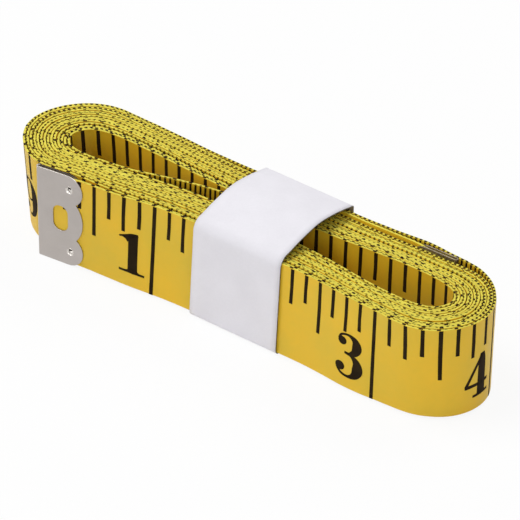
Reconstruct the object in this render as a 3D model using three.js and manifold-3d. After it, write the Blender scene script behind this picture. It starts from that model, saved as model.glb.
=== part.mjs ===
// A cloth tape measure, folded in half, rolled flat on its edge and held by a paper band.
// Millimetres, +Z up, the roll's length along X, its front towards -Y, the band's underside at z = 0.
import * as THREE from 'three';
import { mergeVertices } from 'three/addons/utils/BufferGeometryUtils.js';
import Module from 'manifold-3d';

const wasm = await Module();
wasm.setup();

// Tape
const tapeWidth = 19.05;
const tapeThickness = 0.15; // drawn thinner than cloth, so that the layers stay clear of each other
const layerPitch = 0.57; // from one layer to the next
const layersPerTurn = 2; // the folded tape is wound double
const leftEndSlack = 0.11; // extra pitch where the layers open round the ends
const rightEndSlack = 0.02;
const slackStart = 34; // distance from the middle where that slack begins
const slackFull = 42;
const rightWallTight = 0.09; // the right-hand walls are wound tighter by this much
const rightTightFrom = 8; // distance from the middle where that begins
const rightTightFull = 28;
const leftFrontTight = 0.11; // and so is the front wall towards the left end
const leftTightFrom = 21;
const leftTightFull = 38;
const leftTightDepth = 0.4; // in front of the middle where that begins
const leftTightDepthFull = 3.4;
const endLean = 2.5; // the left end leans forwards: its lower edge lies this far behind its upper edge
const leanFrom = 12; // distance from the middle where the lean begins
const leanFull = 50;

// The opening in the middle of the roll, seen from above. It starts at the fold, on the front wall, and runs
// clockwise: leftwards along the front, round the left end, along the rear and round the right end.
const eyeOutline = [
  [5, -1.65], [-5, -1.3], [-14, -1.6], [-22, -2.5], [-30, -3.9], [-36.5, -4.6],
  [-40.4, -3.7], [-42, -0.9], [-40.6, 2.1], [-36.5, 3.45], [-28, 3.4], [-18, 2.8],
  [-7, 2.35], [4, 2.25], [14, 2.5], [23, 3.15], [31, 3.55], [37.8, 3.15],
  [41.4, 1.8], [42.6, -0.45], [41.4, -2.9], [37.6, -4.2], [30, -4.15], [17, -2.45],
];
const wallSteps = 2; // between two points of the outline
const endSteps = 3;
const endFrom = 36; // distance from the middle where the outline bends round

// The fold: the inner half leaves the front wall, crosses the opening and turns back under the band.
const foldRun = [
  [-20, -1.35], [-15, 0.1], [-9.5, 1.25], [-3, 1.85], [2, 2],
  [5.6, 1.5], [7.4, -0.05], [6, -1.55], [3, -2],
];
const foldSteps = 30;

// Places along the winding, in turns from the fold
const foldLeavesAt = 7 / 48; // where the inner half lies against the wall again
const foldReturnsAt = 2 / 48;
const farClipAt = 6 + 31 / 48; // where the inner half runs straight into its metal end
const farClipAims = 6 + 34 / 48; // the place it heads for
const swellFrom = 6 + 28 / 48; // the outer layers swell over the hidden metal end
const settleFrom = 6 + 34 / 48; // and close up past it, one layer fewer
const settleTo = 6 + 36.6 / 48;
const tailFrom = 7 + 4 / 48; // the free end starts here
const tailLiftTo = 7 + 11 / 48;
const tailStraightAt = 7 + 8 / 48; // and runs straight from here to its metal end
const tailSlack = 1.6; // layers, the free end's loose fit on the roll
const tailStraight = 11.2;
const tailGap = 0.3; // between the free end and the roll, where the tape bends

// Metal ends
const clipPlate = 0.3;
const clipClearance = 0.12; // to the tape inside
const clipSeat = 0.38; // to the layers outside
const clipLength = 9.9;
const clipOverhang = 0.45; // past the tape's edges
const lobeRadius = 3;
const notchAngle = THREE.MathUtils.degToRad(50); // of the outer lobes' ends, below and above their centres
const slotLength = 3.5; // along the tape
const slotHeight = 5.4;
const slotRadius = 1.6;
const slotFromFold = 5;
const crimpRadius = 0.6;

// Paper band
const paper = 0.25;
const bandLeft = -6.5;
const bandWidth = 19.6;
const bandTravelLeft = 5;
const bandTravelRight = 3;
const bandFrontGap = 0.35;
const bandRearGap = 0.3;
const bandFloorGap = 0.25;
const bandShoulder = 1.1; // the band's front shoulder above the tape
const bandCrown = 2.85; // the arched top above the tape
const bandRearShoulder = 1.35;
const shoulderRadius = 2.2;
const rearRadius = 0.9;
const floorRadius = 1.1;
// Points of the arch: share of the way from the shoulder to the rear, share of the rise to the crown
const archFront = [0.22, 0.6];
const archCrown = 0.48;
const archRear = [0.76, 0.65];
const flapDrop = 3.05; // from the tape's upper edge to the inner flap's end, on the rear wall
const flapBottom = 4.5; // the outer flap that is glued over it
const glueThickness = 0.15;
const glueInset = 1.5;

// Segments of the round stretches
const clipFoldSegments = 5;
const lobeSegments = 8;
const slotSegments = 4;
const crimpSegments = 6;
const bandSegments = 4;
const sameStation = 1e-6; // turns
const weld = 1e-5;

// Finishes
const tapeYellow = new THREE.MeshStandardMaterial({ color: 0xddb93c, roughness: 0.5, metalness: 0 });
const nickel = new THREE.MeshStandardMaterial({ color: 0xb3aba6, roughness: 0.35, metalness: 1 });
const whitePaper = new THREE.MeshStandardMaterial({ color: 0xe6e4ea, roughness: 0.85, metalness: 0 });
const glue = new THREE.MeshStandardMaterial({ color: 0xd9d2b8, roughness: 0.6, metalness: 0 });

const { smoothstep } = THREE.MathUtils;
const tapeFloor = paper + bandFloorGap;
const tapeTop = tapeFloor + tapeWidth;
const flapTop = tapeTop - flapDrop;
const clipInside = tapeThickness / 2 + clipClearance;
const clipOutside = clipInside + clipPlate;
const clipHeight = tapeWidth + 2 * clipOverhang;
// Layers by which a metal end pushes its neighbour outwards
const clipRoom = (clipOutside + clipSeat + tapeThickness / 2) / layerPitch - 1;

const eye = new THREE.CatmullRomCurve3(eyeOutline.map(([x, y]) => new THREE.Vector3(x, y, 0)), true);

// A point of the winding: so many turns from the fold, and so many layers out from the opening
function layerPoint(turns, layers) {
  const base = eye.getPoint(turns % 1);
  const along = eye.getTangent(turns % 1);
  const atEnd = smoothstep(Math.abs(base.x), slackStart, slackFull);
  const slack = (base.x < 0 ? leftEndSlack : rightEndSlack) * atEnd;
  const atLeft = smoothstep(-base.x, leftTightFrom, leftTightFull) * smoothstep(-base.y, leftTightDepth, leftTightDepthFull);
  const atRight = smoothstep(base.x, rightTightFrom, rightTightFull) * (1 - atEnd);
  const pitch = layerPitch + slack - leftFrontTight * atLeft * (1 - atEnd / 2) - rightWallTight * atRight;
  return new THREE.Vector2(base.x - along.y * pitch * layers, base.y + along.x * pitch * layers);
}

// The half that lies inside, printed side in, and ends in the hidden metal end
function innerHalf(turns) {
  return layerPoint(turns, layersPerTurn * turns + clipRoom * smoothstep(turns, swellFrom, farClipAt));
}

// The half that lies outside and ends in the free end
function outerHalf(turns) {
  const swell = 2 * clipRoom * smoothstep(turns, swellFrom, farClipAt);
  const settle = (2 * clipRoom + 1) * smoothstep(turns, settleFrom, settleTo);
  const lift = (clipRoom + tailSlack) * smoothstep(turns, tailFrom, tailLiftTo);
  return layerPoint(turns, layersPerTurn * turns + 1 + swell - settle + lift);
}

// Every layer has its points at the same stations of the outline, closer together round the ends
const stations = eyeOutline.flatMap(([x], i) => {
  const next = eyeOutline[(i + 1) % eyeOutline.length];
  const steps = Math.min(Math.abs(x), Math.abs(next[0])) > endFrom ? endSteps : wallSteps;
  return Array.from({ length: steps }, (_, j) => (i + j / steps) / eyeOutline.length);
});

function winding(half, from, to) {
  const points = [half(from)];
  for (let turn = Math.floor(from); turn <= to; turn++) {
    for (const station of stations) {
      const at = turn + station;
      if (at > from + sameStation && at < to - sameStation) points.push(half(at));
    }
  }
  points.push(half(to));
  return points;
}

function straightOn(start, towards, length) {
  const step = towards.clone().sub(start).setLength(length);
  return start.clone().add(step);
}

// The tape's whole route: hidden end, inner half, fold, outer half, free end
function tapeRoute() {
  const inner = winding(innerHalf, foldLeavesAt, farClipAt).reverse();
  const farEnd = straightOn(inner[0], innerHalf(farClipAims), clipLength);
  const outer = winding(outerHalf, foldReturnsAt, tailFrom);
  const turnBack = [inner.at(-1), ...foldRun.map(([x, y]) => new THREE.Vector2(x, y)), outer[0]];
  const fold = new THREE.SplineCurve(turnBack).getPoints(foldSteps).slice(1, -1);
  const tail = winding(outerHalf, tailFrom, tailStraightAt);
  const heading = tail.at(-1).clone().multiplyScalar(2).sub(tail.at(-2));
  tail.push(straightOn(tail.at(-1), heading, tailStraight));
  const roll = [farEnd, ...inner, ...fold, ...outer];
  return { roll, tail };
}

// The least clear distance between stretches of the tape that aren't neighbours along it
function leastGap(points) {
  const nearby = 6;
  const travelled = [0];
  for (let i = 1; i < points.length; i++) {
    travelled.push(travelled[i - 1] + points[i].distanceTo(points[i - 1]));
  }
  const nearest = new THREE.Vector3();
  const line = new THREE.Line3();
  const lift = (p, target) => target.set(p.x, p.y, 0);
  const here = new THREE.Vector3();
  let least = Infinity;
  for (let i = 0; i < points.length; i++) {
    lift(points[i], here);
    for (let j = 0; j + 1 < points.length; j++) {
      if (travelled[i] - travelled[j + 1] < nearby && travelled[j] - travelled[i] < nearby) continue;
      lift(points[j], line.start);
      lift(points[j + 1], line.end);
      least = Math.min(least, line.closestPointToPoint(here, true, nearest).distanceTo(here));
    }
  }
  return { gap: least - tapeThickness, length: travelled.at(-1) };
}

// How far the lower edge of the roll lies behind the upper one
function leanAt(x) {
  return endLean * smoothstep(-x, leanFrom, leanFull);
}

// A flat strip of even thickness that stands on edge along a route of points, its lower edge further back
function strip(points, thickness, bottom, top, lowerShift = () => 0) {
  const positions = [];
  const indices = [];
  points.forEach((point, i) => {
    const before = points[Math.max(i - 1, 0)];
    const after = points[Math.min(i + 1, points.length - 1)];
    const along = after.clone().sub(before).normalize();
    for (const side of [thickness / 2, -thickness / 2]) {
      const x = point.x - along.y * side;
      const y = point.y + along.x * side;
      positions.push(x, y + lowerShift(point.x), bottom, x, y, top);
    }
  });
  const quad = (a, b, c, d) => indices.push(a, b, c, a, c, d);
  const last = 4 * (points.length - 1);
  for (let i = 0; i < last; i += 4) {
    quad(i, i + 1, i + 5, i + 4);
    quad(i + 2, i + 6, i + 7, i + 3);
    quad(i + 1, i + 3, i + 7, i + 5);
    quad(i, i + 4, i + 6, i + 2);
  }
  quad(0, 2, 3, 1);
  quad(last, last + 1, last + 3, last + 2);
  const geometry = new THREE.BufferGeometry();
  geometry.setAttribute('position', new THREE.Float32BufferAttribute(positions, 3));
  geometry.setIndex(indices);
  return geometry;
}

function toSolid(geometry) {
  const bare = geometry.clone();
  bare.deleteAttribute('normal');
  bare.deleteAttribute('uv');
  const merged = mergeVertices(bare, weld);
  const vertProperties = new Float32Array(merged.attributes.position.array);
  const triVerts = new Uint32Array(merged.index.array);
  return new wasm.Manifold(new wasm.Mesh({ numProp: 3, vertProperties, triVerts }));
}

function toGeometry(solid) {
  const { vertProperties, triVerts } = solid.getMesh();
  const geometry = new THREE.BufferGeometry();
  geometry.setAttribute('position', new THREE.BufferAttribute(vertProperties, 3));
  geometry.setIndex(new THREE.BufferAttribute(triVerts, 1));
  return geometry;
}

// A flat outline in the clip's face, x along the tape and y up, pushed through from one depth to another
function through(outline, front, back, curveSegments) {
  const depth = back - front;
  const geometry = new THREE.ExtrudeGeometry(outline, { depth, bevelEnabled: false, curveSegments });
  geometry.rotateX(Math.PI / 2);
  geometry.translate(0, back, 0);
  return toSolid(geometry);
}

// The metal end: a plate folded round the end of the tape, with three lobes, a slot and two crimps
function clipGeometry() {
  const fold = new THREE.Shape();
  fold.moveTo(clipLength, -clipOutside);
  fold.lineTo(clipLength, -clipInside);
  fold.lineTo(clipOutside, -clipInside);
  fold.absarc(clipOutside, 0, clipInside, -Math.PI / 2, Math.PI / 2, true);
  fold.lineTo(clipLength, clipInside);
  fold.lineTo(clipLength, clipOutside);
  fold.lineTo(clipOutside, clipOutside);
  fold.absarc(clipOutside, 0, clipOutside, Math.PI / 2, 1.5 * Math.PI, false);
  const folded = { depth: clipHeight, bevelEnabled: false, curveSegments: clipFoldSegments };
  const plate = toSolid(new THREE.ExtrudeGeometry(fold, folded));

  const lobeX = clipLength - lobeRadius;
  const topLobe = clipHeight - lobeRadius;
  const notchX = lobeX + lobeRadius * Math.cos(notchAngle);
  const notchY = lobeRadius * (1 + Math.sin(notchAngle));
  const halfChord = clipHeight / 2 - notchY;
  const bulge = clipLength - notchX;
  const middleRadius = (halfChord ** 2 + bulge ** 2) / (2 * bulge);
  const middleAngle = Math.asin(halfChord / middleRadius);
  const lobes = new THREE.Shape();
  lobes.moveTo(-clipPlate, 0);
  lobes.lineTo(lobeX, 0);
  lobes.absarc(lobeX, lobeRadius, lobeRadius, -Math.PI / 2, notchAngle, false);
  lobes.absarc(clipLength - middleRadius, clipHeight / 2, middleRadius, -middleAngle, middleAngle, false);
  lobes.absarc(lobeX, topLobe, lobeRadius, -notchAngle, Math.PI / 2, false);
  lobes.lineTo(-clipPlate, clipHeight);

  const slotX = slotLength / 2 - slotRadius;
  const slotY = slotHeight / 2 - slotRadius;
  const slot = new THREE.Shape();
  slot.absarc(slotFromFold + slotX, clipHeight / 2 - slotY, slotRadius, -Math.PI / 2, 0, false);
  slot.absarc(slotFromFold + slotX, clipHeight / 2 + slotY, slotRadius, 0, Math.PI / 2, false);
  slot.absarc(slotFromFold - slotX, clipHeight / 2 + slotY, slotRadius, Math.PI / 2, Math.PI, false);
  slot.absarc(slotFromFold - slotX, clipHeight / 2 - slotY, slotRadius, Math.PI, 1.5 * Math.PI, false);

  const reach = 2 * clipOutside;
  let clip = plate.intersect(through(lobes, -reach, reach, lobeSegments));
  clip = clip.subtract(through(slot, -reach, reach, slotSegments));
  for (const y of [lobeRadius, topLobe]) {
    const crimp = new THREE.Shape();
    crimp.absarc(lobeX, y, crimpRadius, 0, 2 * Math.PI, false);
    clip = clip.subtract(through(crimp, -reach, 0, crimpSegments));
  }
  return toGeometry(clip);
}

// Puts a metal end on the tape's end, its slotted face to the right of the way back along the tape
function clipOn(name, end, before) {
  const mesh = new THREE.Mesh(clipGeometry(), nickel);
  const back = before.clone().sub(end).normalize();
  mesh.name = name;
  mesh.position.set(end.x - back.x * clipOutside, end.y - back.y * clipOutside, tapeFloor - clipOverhang);
  mesh.rotation.z = back.angle();
  return mesh;
}

// Where the route lies across the roll, at its points between two places along X and at those places
function acrossBetween(points, left, right) {
  const found = [];
  points.forEach((point, i) => {
    if (point.x >= left && point.x <= right) found.push(point.y);
    if (i === 0) return;
    const before = points[i - 1];
    for (const x of [left, right]) {
      const share = (x - before.x) / (point.x - before.x);
      if (share > 0 && share < 1) found.push(before.y + (point.y - before.y) * share);
    }
  });
  return found;
}

// The band's route round the roll, seen along X, from its inner flap to its outer flap
function bandRoute(front, rear) {
  const innerRear = rear + bandRearGap + paper / 2;
  const outerRear = innerRear + paper + glueThickness;
  const frontWall = front - bandFrontGap - paper / 2;
  const shoulder = tapeTop + bandShoulder + paper / 2;
  const crown = tapeTop + bandCrown + paper / 2;
  const rearShoulder = tapeTop + bandRearShoulder + paper / 2;
  const underside = paper / 2;
  const topStart = frontWall + shoulderRadius;
  const topEnd = outerRear - rearRadius;
  const arch = (share, foot, rise) => new THREE.Vector2(
    topStart + (topEnd - topStart) * share,
    foot + (crown - foot) * rise,
  );
  const route = new THREE.Path();
  route.moveTo(innerRear, flapTop);
  route.lineTo(innerRear, underside + floorRadius);
  route.absarc(innerRear - floorRadius, underside + floorRadius, floorRadius, 0, -Math.PI / 2, true);
  route.lineTo(frontWall + floorRadius, underside);
  route.absarc(frontWall + floorRadius, underside + floorRadius, floorRadius, -Math.PI / 2, -Math.PI, true);
  route.lineTo(frontWall, shoulder - shoulderRadius);
  route.absarc(topStart, shoulder - shoulderRadius, shoulderRadius, Math.PI, Math.PI / 2, true);
  route.splineThru([
    arch(archFront[0], shoulder, archFront[1]),
    arch(archCrown, shoulder, 1),
    arch(archRear[0], rearShoulder, archRear[1]),
    new THREE.Vector2(topEnd, rearShoulder),
  ]);
  route.absarc(topEnd, rearShoulder - rearRadius, rearRadius, Math.PI / 2, 0, true);
  route.lineTo(outerRear, flapBottom);
  return { points: route.getPoints(bandSegments), glueRear: innerRear + (paper + glueThickness) / 2 };
}

const { roll, tail } = tapeRoute();
const measured = leastGap([...roll, ...tail.slice(1)]);
console.log(`tape length ${measured.length.toFixed(0)} mm`);
console.log(`least gap between layers ${measured.gap.toFixed(3)} mm`);

// The roll stops and the free end starts half a gap each side of the bend
const bend = roll.at(-1).clone();
roll[roll.length - 1] = straightOn(bend, roll.at(-2), tailGap / 2);
tail[0] = straightOn(bend, tail[1], tailGap / 2);
console.log(`free end bends at x ${bend.x.toFixed(3)}, y ${bend.y.toFixed(3)}`);

const bandRight = bandLeft + bandWidth;
const inBand = acrossBetween(roll, bandLeft - bandTravelLeft, bandRight + bandTravelRight);
const rollFront = Math.min(...inBand) - tapeThickness / 2;
const rollRear = Math.max(...inBand) + tapeThickness / 2;
const band = bandRoute(rollFront, rollRear);

const tapeRoll = new THREE.Mesh(strip(roll, tapeThickness, tapeFloor, tapeTop, leanAt), tapeYellow);
tapeRoll.name = 'tape_roll';

const freeEnd = new THREE.Mesh(strip(tail, tapeThickness, tapeFloor, tapeTop), tapeYellow);
freeEnd.name = 'tape_free_end';

const alongX = new THREE.Matrix4().makeBasis(
  new THREE.Vector3(0, 1, 0),
  new THREE.Vector3(0, 0, 1),
  new THREE.Vector3(1, 0, 0),
);
const paperBand = new THREE.Mesh(strip(band.points, paper, bandLeft, bandRight), whitePaper);
paperBand.geometry.applyMatrix4(alongX);
paperBand.name = 'paper_band';

const glueHeight = flapTop - flapBottom - 2 * glueInset;
const glueLine = new THREE.BoxGeometry(bandWidth - 2 * glueInset, glueThickness, glueHeight);
const glueStrip = new THREE.Mesh(glueLine, glue);
glueStrip.position.set((bandLeft + bandRight) / 2, band.glueRear, (flapTop + flapBottom) / 2);
glueStrip.name = 'band_glue_strip';

const tapeMeasure = new THREE.Group();
tapeMeasure.add(tapeRoll, freeEnd, paperBand, glueStrip);
tapeMeasure.add(clipOn('zero_end_tip', tail.at(-1), tail.at(-2)));
tapeMeasure.add(clipOn('far_end_tip', roll[0], roll[1]));

export default tapeMeasure;
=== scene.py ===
import bisect
import math
import random

import bmesh
import bpy
from mathutils import Matrix, Quaternion, Vector


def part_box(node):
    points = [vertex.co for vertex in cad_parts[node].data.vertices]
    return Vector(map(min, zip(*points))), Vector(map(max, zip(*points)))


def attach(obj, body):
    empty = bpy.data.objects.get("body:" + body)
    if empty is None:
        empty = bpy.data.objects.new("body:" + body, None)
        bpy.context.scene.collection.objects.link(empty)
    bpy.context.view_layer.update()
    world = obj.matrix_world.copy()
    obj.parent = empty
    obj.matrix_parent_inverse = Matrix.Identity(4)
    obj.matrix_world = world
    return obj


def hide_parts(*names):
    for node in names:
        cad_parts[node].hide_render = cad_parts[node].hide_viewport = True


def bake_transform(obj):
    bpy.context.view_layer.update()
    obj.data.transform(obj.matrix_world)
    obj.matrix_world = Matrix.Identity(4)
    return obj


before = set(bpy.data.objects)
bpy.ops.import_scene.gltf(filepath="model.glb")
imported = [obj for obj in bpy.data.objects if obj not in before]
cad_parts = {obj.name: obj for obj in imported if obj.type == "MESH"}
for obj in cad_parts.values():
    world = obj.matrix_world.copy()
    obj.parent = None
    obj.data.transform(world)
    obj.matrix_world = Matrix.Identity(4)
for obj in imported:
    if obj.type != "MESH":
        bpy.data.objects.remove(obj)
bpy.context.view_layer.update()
scene = bpy.context.scene
mm = 0.001
inch = 25.4
weld = 1e-5  # mm
print("frame loaded:", ", ".join(sorted(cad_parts)))


cameraView = {
    "aim": (-7.1, 10.9, 0.5),  # the point in the middle of the picture, mm
    "azimuth": 36.2,
    "elevation": 34.39,
    "roll": 1.92,
    "distance": 990,
    "focal": 5362,  # pixels of a picture this wide:
    "picture": 520,
    "sensor": 36,
    "clipStart": 0.01,  # m
}


def makeCamera():
    az = math.radians(cameraView["azimuth"])
    el = math.radians(cameraView["elevation"])
    back = Vector((math.sin(az) * math.cos(el), -math.cos(az) * math.cos(el), math.sin(el)))
    data = bpy.data.cameras.new("camera")
    data.sensor_width = cameraView["sensor"]
    data.lens = cameraView["focal"] * cameraView["sensor"] / cameraView["picture"]
    data.clip_start = cameraView["clipStart"]
    camera = bpy.data.objects.new("camera", data)
    camera.location = (Vector(cameraView["aim"]) + back * cameraView["distance"]) * mm
    camera.rotation_mode = "QUATERNION"
    roll = Quaternion((0, 0, 1), math.radians(cameraView["roll"]))
    camera.rotation_quaternion = (-back).to_track_quat("-Z", "Y") @ roll
    scene.collection.objects.link(camera)
    scene.camera = camera


makeCamera()
print("camera set")


def smoothstep(x, low, high):
    t = min(max((x - low) / (high - low), 0), 1)
    return t * t * (3 - 2 * t)


def between(x, up, full, down, over):
    return smoothstep(x, up, full) - smoothstep(x, down, over)


def waves(s, parts):
    return sum(math.sin(s / length + phase) * share for length, phase, share in parts)


def hermite(p1, p2, m1, m2, t):
    cubic = (2 * p1 - 2 * p2 + m1 + m2) * t ** 3
    square = (-3 * p1 + 3 * p2 - 2 * m1 - m2) * t ** 2
    return cubic + square + m1 * t + p1


def evenSpline(points, steps):  # through all the points, uniform Catmull-Rom
    points = [Vector(p) for p in points]
    line = []
    for i in range(len(points) - 1):
        p0, p1, p2, p3 = (points[min(max(i + k, 0), len(points) - 1)] for k in (-1, 0, 1, 2))
        line += [hermite(p1, p2, (p2 - p0) / 2, (p3 - p1) / 2, j / steps) for j in range(steps)]
    return line + [points[-1]]


# The tape: folded in half and wound double round a narrow opening, seen from above, mm
tape = {
    "thickness": 0.46,
    "edgeRound": 0.06,
    "edgeSegments": 2,
    "edgeAngle": math.radians(50),
    "trim": (0.5, 0.35),  # the cloth is cut back inside the metal ends, first the free one
    "trimOver": (6, 8.5),
    "pitch": 0.57,
    "leftSlack": 0.11,  # extra pitch round the ends
    "rightSlack": 0.02,
    "slackFrom": 34,
    "slackFull": 42,
    "rightTight": 0.09,  # and less of it along the right-hand walls
    "rightTightOver": (8, 28),
    "leftTight": 0.11,  # and in front towards the left end
    "leftTightOver": (21, 38),
    "leftTightDepth": (0.4, 3.4),
    "wallSteps": 7,
    "endSteps": 16,
    "endFrom": 36,
    "foldSteps": 7,
    "rows": 4,
    "foldLeaves": 7 / 48,  # places along the winding, in turns from the fold
    "foldReturns": 2 / 48,
    "swellFrom": 6 + 28 / 48,
    "farClip": 6 + 31 / 48,
    "farAim": 6 + 34 / 48,
    "settleFrom": 6 + 34 / 48,
    "settleTo": 6 + 36.6 / 48,
    "join": 7 + 0.6 / 48,  # the free end's piece starts here, under the band
    "tailFrom": 7 + 4 / 48,
    "tailLift": 7 + 11 / 48,
    "tailStraightAt": 7 + 8 / 48,
    "tailSlack": 1.6,
    "tailStraight": 11.2,
    "tailTurn": math.radians(3),  # the free end stands off a little
    "tipLength": 9.9,
    "clipStep": 0.95,  # from the middle of the hidden metal end to the next layer
    "wander": 0.1,  # how far the edges stray up and down
    "wanderWaves": [(23.7, 0, 0.7), (61, 1.3, 1), (11.9, 0.4, 0.35)],  # length, phase and share
    "sway": 0.02,  # and the layers in and out
    "swayWaves": [(17.3, 0, 1), (7.1, 2, 0.6), (41, 1, 0.8)],
    "looseOver": (60, 110),  # both grow this far from the free end
    "looseOverFar": (50, 100),  # and from the hidden one
    "lean": 2.5,  # the roll's lower edge sits this far back at its left end
    "leanOver": (12, 50),
    "tailLean": 0.9,
    "tailLeanOver": (18, 41),
    "footOut": 0.6,  # and the front wall's lower edge this far forward along the waist
    "footOutOver": (-26, -15, 26, 38),
    "footBack": 0.8,  # and back again in front of the right end
    "footBackOver": (32, 42, 45, 52),
    "footDepth": (-2, 1),
    "endLean": (-0.7, 0.65),  # and the left end's lower edge this far out and back
    "endLeanOver": (36, 48),
    "farLift": 0.65,  # the hidden end and the layer behind it stand a little proud
    "farLiftOver": (50, 24),  # from the end
    "rearLift": 0.8,
    "rearLiftOver": (112, 125, 150, 178),  # from the start
    "overTip": 0.3,  # more of it where it passes the hidden end
    "overTipOver": (110, 120, 122, 132),
}
clipRoom = tape["clipStep"] / tape["pitch"] - 1  # layers by which a metal end pushes the next one out
eyeOutline = [
    (5, -1.65), (-5, -1.3), (-14, -1.6), (-22, -2.5), (-30, -3.9), (-36.5, -4.6),
    (-40.4, -3.7), (-42, -0.9), (-40.6, 2.1), (-36.5, 3.45), (-28, 3.4), (-18, 2.8),
    (-7, 2.35), (4, 2.25), (14, 2.5), (23, 3.15), (31, 3.55), (37.8, 3.15),
    (41.4, 1.8), (42.6, -0.45), (41.4, -2.9), (37.6, -4.2), (30, -4.15), (17, -2.45),
]
foldRun = [
    (-20, -1.35), (-15, 0.1), (-9.5, 1.25), (-3, 1.85), (2, 2),
    (5.6, 1.5), (7.4, -0.05), (6, -1.55), (3, -2),
]


def eyePoint(turns):  # closed centripetal Catmull-Rom
    count = len(eyeOutline)
    place = (turns % 1) * count
    i = int(place)
    p0, p1, p2, p3 = (Vector(eyeOutline[(i + k) % count]) for k in (-1, 0, 1, 2))
    d0, d1, d2 = ((b - a).length ** 0.5 for a, b in ((p0, p1), (p1, p2), (p2, p3)))
    m1 = ((p1 - p0) / d0 - (p2 - p0) / (d0 + d1) + (p2 - p1) / d1) * d1
    m2 = ((p2 - p1) / d1 - (p3 - p1) / (d1 + d2) + (p3 - p2) / d2) * d1
    return hermite(p1, p2, m1, m2, place - i)


def layerPoint(turns, layers):
    nudge = 0.0001
    base = eyePoint(turns)
    along = (eyePoint(turns + nudge) - eyePoint(turns - nudge)).normalized()
    atEnd = smoothstep(abs(base.x), tape["slackFrom"], tape["slackFull"])
    slack = (tape["leftSlack"] if base.x < 0 else tape["rightSlack"]) * atEnd
    atLeft = smoothstep(-base.x, *tape["leftTightOver"]) * smoothstep(-base.y, *tape["leftTightDepth"])
    atRight = smoothstep(base.x, *tape["rightTightOver"]) * (1 - atEnd)
    tight = tape["leftTight"] * atLeft * (1 - atEnd / 2)
    pitch = tape["pitch"] + slack - tight - tape["rightTight"] * atRight
    return base + Vector((-along.y, along.x)) * pitch * layers


def innerHalf(turns):  # inch side towards the opening, ends in the hidden metal end
    swell = clipRoom * smoothstep(turns, tape["swellFrom"], tape["farClip"])
    return layerPoint(turns, 2 * turns + swell)


def outerHalf(turns):  # inch side outwards, ends in the free end
    swell = 2 * clipRoom * smoothstep(turns, tape["swellFrom"], tape["farClip"])
    settle = (2 * clipRoom + 1) * smoothstep(turns, tape["settleFrom"], tape["settleTo"])
    lift = (clipRoom + tape["tailSlack"]) * smoothstep(turns, tape["tailFrom"], tape["tailLift"])
    return layerPoint(turns, 2 * turns + 1 + swell - settle + lift)


def eyeStations():
    count = len(eyeOutline)
    found = []
    for i in range(count):
        nearest = min(abs(eyeOutline[i][0]), abs(eyeOutline[(i + 1) % count][0]))
        steps = tape["endSteps"] if nearest > tape["endFrom"] else tape["wallSteps"]
        found += [(i + j / steps) / count for j in range(steps)]
    return found


def winding(half, start, stop):
    near = 1e-4
    turns = [turn + s for turn in range(int(start), int(stop) + 1) for s in eyeStations()]
    inside = [t for t in turns if start + near < t < stop - near]
    return [half(t) for t in [start, *inside, stop]]


def straightOn(start, towards, length, step=1.2):
    run = (towards - start).normalized()
    count = math.ceil(length / step)
    return [start + run * length * (i + 1) / count for i in range(count)]


def tapeRoute():  # from the free end's tip, where the scale starts, to the hidden end
    tail = winding(outerHalf, tape["join"], tape["tailStraightAt"])
    away = Matrix.Rotation(tape["tailTurn"], 2) @ (tail[-1] - tail[-2])
    tail += straightOn(tail[-1], tail[-1] + away, tape["tailStraight"])
    outer = winding(outerHalf, tape["foldReturns"], tape["join"])
    inner = winding(innerHalf, tape["foldLeaves"], tape["farClip"])
    fold = evenSpline([outer[0], *foldRun[::-1], inner[0]], tape["foldSteps"])
    end = straightOn(inner[-1], innerHalf(tape["farAim"]), tape["tipLength"])
    route = [*tail[::-1], *outer[-2::-1], *fold[1:-1], *inner, *end]
    places = {"join": len(tail) - 1, "fold": len(tail) + len(outer) + len(fold) // 2}
    return route, places


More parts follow.
